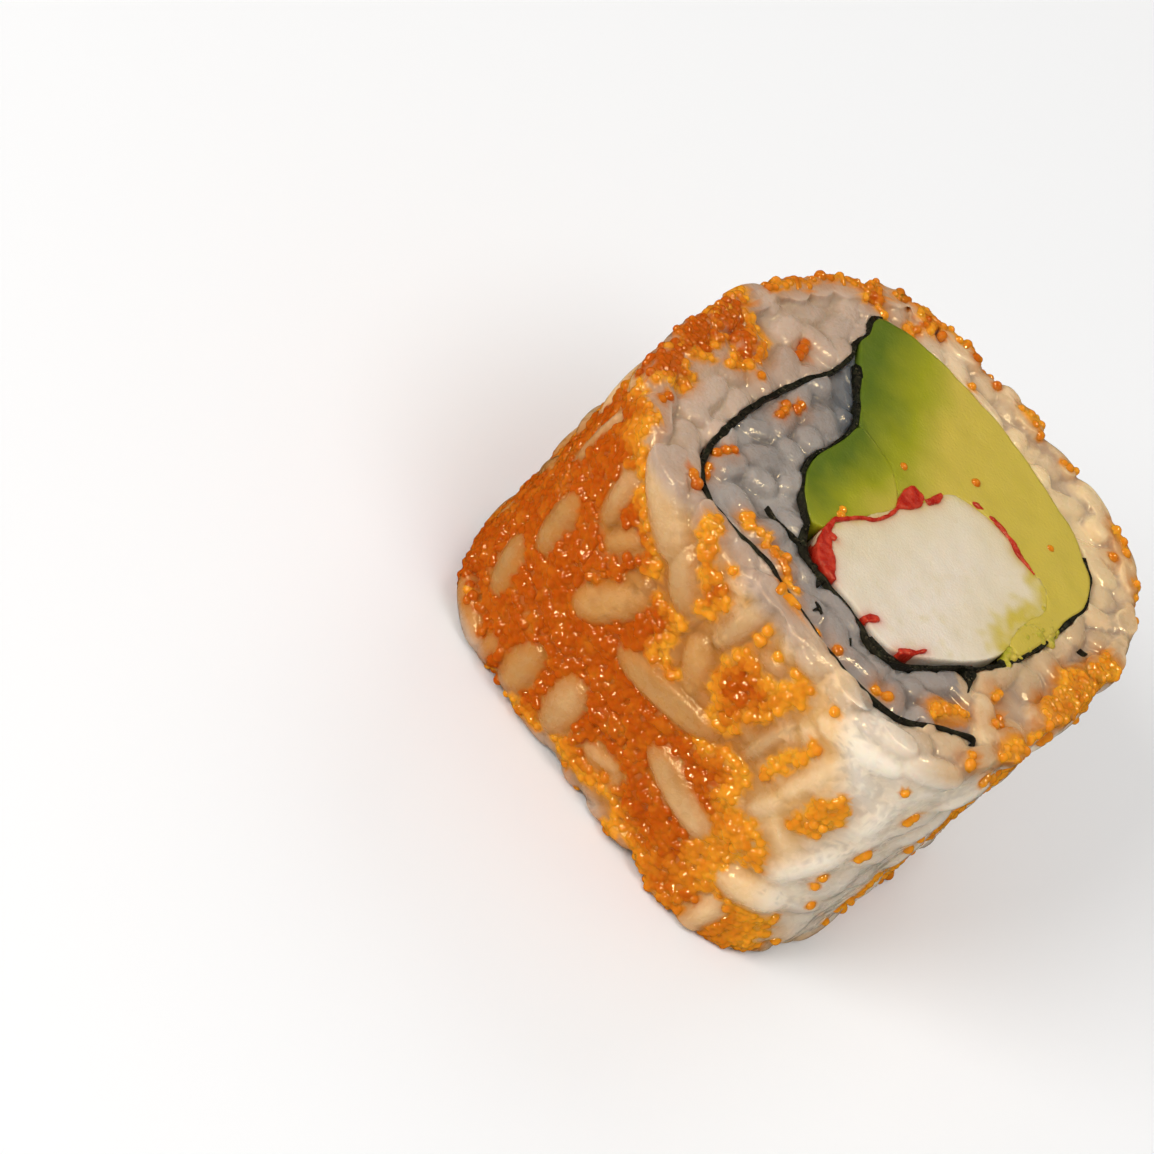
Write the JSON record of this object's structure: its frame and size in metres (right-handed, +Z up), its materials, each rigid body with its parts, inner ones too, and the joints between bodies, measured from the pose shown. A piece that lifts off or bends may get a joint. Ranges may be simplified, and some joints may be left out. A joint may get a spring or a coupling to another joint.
{
  "type": "california roll",
  "caption": "Inside-out sushi roll piece standing on its cut: rice with orange roe rolled on a nori sheet round avocado and crab stick",
  "frame": {"origin": "middle of the lower knife cut's box, on the surface that the piece stands on", "axes": "+Z up along the axis it was rolled about, through both knife cuts; +X to the right and +Y away, seen from the side where the sheet ends"},
  "size_m": [0.0431, 0.0425, 0.028],
  "materials": {
    "rice": "moist cooked rice, satin with small wet highlights",
    "roe": "glossy orange roe beads",
    "nori": "damp black-green seaweed sheet",
    "avocado": "satin avocado flesh, green turning yellow",
    "crab_stick": "off-white crab stick with red skin"
  },
  "bodies": {
    "root": {"rice": "rice", "nori": "nori", "avocado_large": "avocado", "avocado_small": "avocado", "crab_stick": "crab_stick"}
  },
  "joints": []
}
